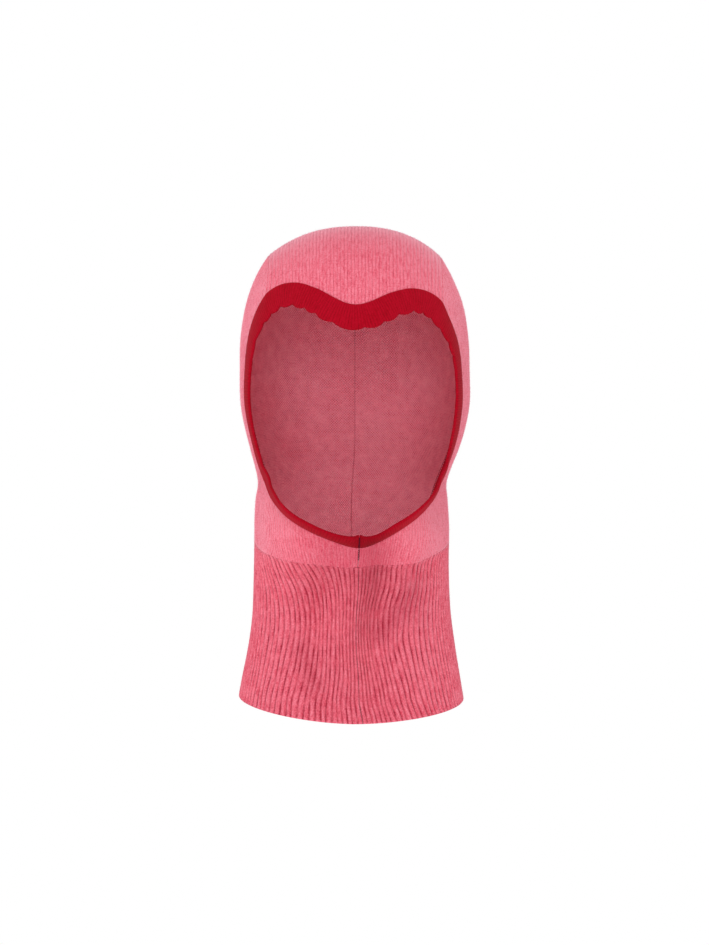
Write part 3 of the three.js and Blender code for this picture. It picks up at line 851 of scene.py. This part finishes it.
# ---- The face band
def trim_point(t, share, scale=1.0):
    """A point of the band: share goes from its seam to its fold."""
    start = surface(*opening_at(t))
    forward = unit(surface(*opening_at(t + 0.004)) - surface(*opening_at(t - 0.004)))
    inward = unit(np.cross(forward, outward(start)))
    chin = 1 - fade(0, CHIN_REACH, np.abs(np.abs(t) - 0.5))
    lean = np.radians(through(LEAN, np.minimum(np.abs(t), 1 - np.abs(t))))
    roll = np.maximum(CURL * chin, 0.01)
    length = (TRIM_WIDTH + (CHIN_TRIM_WIDTH - TRIM_WIDTH) * chin) * scale + TRIM_GAP - TRIM_START
    flat = TRIM_START + length * (np.sin(lean) - np.sin(lean - roll * share)) / roll
    reached = start + inward * flat[..., None]
    laid = surface(np.arctan2(reached[..., 0], -reached[..., 1]), reached[..., 2])
    rise = length * (np.cos(lean - roll * share) - np.cos(lean)) / roll
    return laid + outward(laid) * rise[..., None]


def trim_outward(t, share):
    """The direction out of the band's surface."""
    around = trim_point(t + 0.0025, share) - trim_point(t - 0.0025, share)
    inward = trim_point(t, share + 0.01) - trim_point(t, share - 0.01)
    return unit(np.cross(inward, around))


def band_section():
    """The folded band's cross-section as (share, height above the hood): two layers, a fold, and the
    seam's allowance down the jersey's cut edge."""
    half = BAND_HALF
    middle = BAND_MIDDLE
    gap = half - BAND_LAYER
    fold = half / TRIM_WIDTH
    lip = [(0.004, middle), (0.0, 0.0), (-0.013, 0.1), (-0.015, 0.35), (0.0, 0.55)]
    outer = [(s, middle + half + 0.3 * math.sin(math.pi * s)) for s in np.linspace(0.05, 0.9, 10)]
    nose = [(1 - fold + fold * math.cos(a), middle + half * math.sin(a))
            for a in np.radians(np.linspace(90, -90, 9))]
    under = [(s, middle - half) for s in np.linspace(0.85, 0.13, 6)]
    allowance = [(0.09, -1.9), (0.045, -2.7), (0.01, -2.6), (0.02, -1.6)]
    inner = [(s, middle - gap) for s in (0.04, 0.3, 0.6, 0.88)]
    inner += [(1 - 1.3 * BAND_LAYER / TRIM_WIDTH, middle)]
    inner += [(s, middle + gap) for s in (0.88, 0.5, 0.25)]
    inner += [(0.06, middle + 0.5 * gap), (0.03, middle)]
    return np.array(lip + outer + nose + under + allowance + inner)


def scallops(reach, t):
    """How much wider the band is, as a factor, where its folded edge waves: mostly at the top."""
    lobes = np.abs(np.sin(reach / 4.1 + 0.7 * np.sin(reach / 19) + 0.4 * np.sin(reach / 7))) ** 0.8 - 0.6
    at_top = 0.12 + 0.88 * fade(0.25, 0.2, np.abs(t))
    return 1 + SCALLOP * lobes * at_top * fade(0.4, 0.3, np.abs(t)) / TRIM_WIDTH


def end_caps(index):
    """Quads that close each end of the band, between the section's outer and inner lines. index has
    a row for each section, which ends with its first vertex again."""
    caps = []
    for row, flip in ((index[0], 1), (index[-1], -1)):
        low, high = 0, len(row) - 2
        while high - low > 2:
            caps.append([row[low], row[low + 1], row[high - 1], row[high]][::flip])
            low, high = low + 1, high - 1
    return np.array(caps)


def band_cloth():
    """The folded band: its section swept round the opening, closed at both ends at the chin."""
    table = np.linspace(-BAND_END, BAND_END, 4000)
    lengths = path_length(trim_point(table, np.full(table.shape, 0.5)))
    reach = np.linspace(0, lengths[-1], 1440)
    t = np.interp(reach, lengths, table)
    scale = scallops(reach, t)
    ends = np.minimum(reach, lengths[-1] - reach)
    tuck = 0.5 * (1 - fade(0, 0.9, ends))
    ridge = BAND_RIDGE * np.sin(math.pi * reach / RIB_COURSE) ** 2
    section = band_section()
    rings = []
    for share, height in section:
        s = np.full(t.shape, share)
        above = height - BAND_MIDDLE
        lift = np.sign(above) * ((ridge if abs(above) > 0.6 else 0) - tuck * (abs(above) > 0.3))
        rings.append(trim_point(t, s, scale) + trim_outward(t, s) * (height + lift)[:, None])
    points = np.stack(rings, 1)
    index = np.arange(points.shape[0] * points.shape[1]).reshape(points.shape[:2])
    index = np.column_stack([index, index[:, 0]])
    faces = np.concatenate([grid_quads(index), end_caps(index)])
    across = np.tile(section[:, 0] * TRIM_WIDTH / 1.5, len(t))
    knit = np.stack([np.repeat(reach / RIB_COURSE, len(section)), across, np.zeros(len(across))], 1)
    points = points.reshape(-1, 3)
    cloth = make_mesh("face_trim_cloth", points, faces, [RED_BAND], None, {"knit": knit})
    outside = grid_quads(index[:, 5:24])
    return cloth, fuzz("face_trim_fuzz", points, outside, BAND_FIBRES, RED_FUZZ, seed=3, length=0.9)


# ---- Seam threads
def overlock(name, line, material, pitch=2.4, half=1.0, lift=0.45, radius=0.28):
    """A thread whipped along a seam: a coil round the line, half wide each way and lift high."""
    length = path_length(line)[-1]
    turns = length / pitch
    shares = np.linspace(0, 1, int(turns * 10) + 2)
    centre, _ = resample(line, shares)
    out = outward(centre)
    forward = unit(np.gradient(centre, axis=0))
    side = unit(np.cross(out, forward))
    turn = shares * turns * math.tau
    path = centre + side * (half * np.cos(turn))[:, None] + out * (lift * np.sin(turn))[:, None]
    return tube(name, path, radius, material)


def sunk(points, depth=THREAD_DEPTH):
    """Points moved into the cloth."""
    return points - outward(points) * depth


def trimmed(line, start, end):
    """A line without its first and last stretch, whose lengths are start and end."""
    length = path_length(line)[-1]
    return resample(line, np.linspace(start / length, 1 - end / length, 400))[0]


def side_threads(side):
    """The threads of a side's crown seam and of its rib join."""
    name = NAMES[side]
    flip = np.array([side, 1, 1])
    seam = crown_seam()
    seam = seam + crest(seam)
    seam_line = sunk(trimmed(seam, 9, 5.5))
    around = np.linspace(0, math.pi, 400)
    join_line = sunk(trimmed(surface(around, rib_top(around) - 0.4), 3.5, 3.5))
    return {
        f"{name}_crown_seam": overlock(f"{name}_crown_seam_stitches", seam_line * flip, PINK_THREAD),
        f"{name}_rib_join": overlock(f"{name}_rib_join_stitches", join_line * flip, PINK_THREAD),
    }


def front_seam():
    heights = np.linspace(CHIN_HEIGHT - 4, float(hem(0)) + 2, 400)
    line = sunk(surface(seam_angle(heights), heights))
    return overlock("front_seam_stitches", line, PINK_THREAD)


def back_seam():
    """Flush with the inside of the cloth, where it shows as a faint line through the opening."""
    heights = np.linspace(TONGUE_END - 4, float(hem(math.pi)) + 2, 400)
    line = sunk(surface(np.full(len(heights), math.pi), heights), THICKNESS + 0.25)
    return overlock("back_seam_stitches", line, INNER_THREAD, pitch=1.1, half=0.4, lift=0.1, radius=0.15)


def trim_join():
    """Along the line where the band is sewn to the jersey."""
    line = sunk(surface(*opening_at(np.linspace(-0.494, 0.494, 1500))))
    return overlock("trim_join_stitches", line, RED_THREAD, pitch=2.0, half=0.5, lift=0.25, radius=0.2)


def trim_end():
    """The dark thread between the band's two ends, across the band at the chin."""
    chin = np.full(12, 0.5)
    across = np.linspace(0.05, 0.9, 12)
    line = trim_point(chin, across) + trim_outward(chin, across) * 0.8
    return tube("trim_end_stitches", line, 0.5, DARK_THREAD)


def chin_tack():
    """The few dark stitches below the band's ends."""
    chin = surface(np.zeros(12), CHIN_HEIGHT - np.linspace(1.2, 9, 12))
    return overlock("chin_tack_stitches", sunk(chin, -0.1), DARK_THREAD,
                    pitch=1.6, half=0.4, lift=0.2, radius=0.18)


def threads():
    """Every seam's thread, by the name of the node that it stands for."""
    return {
        **side_threads(1),
        **side_threads(-1),
        "front_seam": front_seam(),
        "back_seam": back_seam(),
        "trim_join_seam": trim_join(),
        "trim_end_seam": trim_end(),
        "chin_tack": chin_tack(),
    }


# ---- Scene
LENS = 84.7                  # in mm
CAMERA_DISTANCE = 1.6        # in metres, like everything in the scene
CAMERA_HEIGHT = -0.1735      # half way down the garment
# Each light's name, place, the point it faces, its disk's width and its watts.
LIGHTS = [
    ("front_key", (-0.06, -2.3, -0.08), (0, 0, -0.15), 1.2, 18),
    ("high_front", (-0.3, -1.5, 1.5), (0, 0, -0.17), 1.0, 11),
    ("left_strip", (-1.7, 0.3, 0.1), (0, 0, -0.15), 1.0, 6.5),
    ("right_strip", (1.7, 0.3, 0.1), (0, 0, -0.15), 1.0, 5.5),
    ("top", (0, -0.1, 1.9), (0, 0, 0), 1.0, 4),
]
SKY_LIGHT = 0.45             # strength of the white world's light: the camera sees it at 1
FLOOR_HEIGHT = -0.75


def add_camera():
    data = bpy.data.cameras.new("camera")
    data.lens = LENS
    camera = bpy.data.objects.new("camera", data)
    camera.location = (0, -CAMERA_DISTANCE, CAMERA_HEIGHT)
    camera.rotation_euler = (math.pi / 2, 0, 0)
    bpy.context.scene.collection.objects.link(camera)
    bpy.context.scene.camera = camera


def add_light(name, place, target, size, power):
    data = bpy.data.lights.new(name, "AREA")
    data.shape = "DISK"
    data.size = size
    data.energy = power
    light = bpy.data.objects.new(name, data)
    light.location = place
    light.rotation_mode = "QUATERNION"
    light.rotation_quaternion = (Vector(target) - Vector(place)).to_track_quat("-Z", "Y")
    light.visible_camera = False
    bpy.context.scene.collection.objects.link(light)


def add_world():
    world = bpy.data.worlds.new("studio")
    bpy.context.scene.world = world
    world.use_nodes = True
    nodes, links = world.node_tree.nodes, world.node_tree.links
    seen = nodes["Background"]
    seen.inputs["Color"].default_value = (1, 1, 1, 1)
    seen.inputs["Strength"].default_value = 1.0
    light = nodes.new("ShaderNodeBackground")
    light.inputs["Color"].default_value = (1, 1, 1, 1)
    light.inputs["Strength"].default_value = SKY_LIGHT
    mix = nodes.new("ShaderNodeMixShader")
    ray = nodes.new("ShaderNodeLightPath")
    links.new(ray.outputs["Is Camera Ray"], mix.inputs[0])
    links.new(light.outputs[0], mix.inputs[1])
    links.new(seen.outputs[0], mix.inputs[2])
    links.new(mix.outputs[0], nodes["World Output"].inputs["Surface"])


def add_floor():
    bpy.ops.mesh.primitive_circle_add(
        vertices=96, radius=1.05, fill_type="NGON", location=(0, 0, FLOOR_HEIGHT))
    floor = bpy.context.object
    floor.name = "floor"
    g = Graph("floor_paint")
    g.shader.inputs["Base Color"].default_value = (0.9, 0.9, 0.9, 1)
    g.shader.inputs["Roughness"].default_value = 0.9
    g.shader.inputs["Emission Color"].default_value = (1, 1, 1, 1)
    g.shader.inputs["Emission Strength"].default_value = 0.4
    floor.data.materials.append(g.material)


def declare(piece, node):
    """Attaches a visual piece to the root body and hides the CAD part that it stands for."""
    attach(piece, "root")
    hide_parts(node)


add_camera()
add_world()
for light in LIGHTS:
    add_light(*light)
add_floor()

cloth = {
    "crown_panel": (crown_cloth(), "pink_jersey"),
    "right_side_panel": (side_cloth(1), "pink_jersey"),
    "left_side_panel": (side_cloth(-1), "pink_jersey"),
    "right_neck_rib": (rib_cloth(1), "pink_rib"),
    "left_neck_rib": (rib_cloth(-1), "pink_rib"),
    "face_trim": (band_cloth(), "red_trim"),
}
for node, ((knit, fibres), slot) in cloth.items():
    declare(knit, node)
    declare(fibres, node)
for node, piece in threads().items():
    declare(piece, node)

bpy.context.scene.view_settings.view_transform = "Standard"
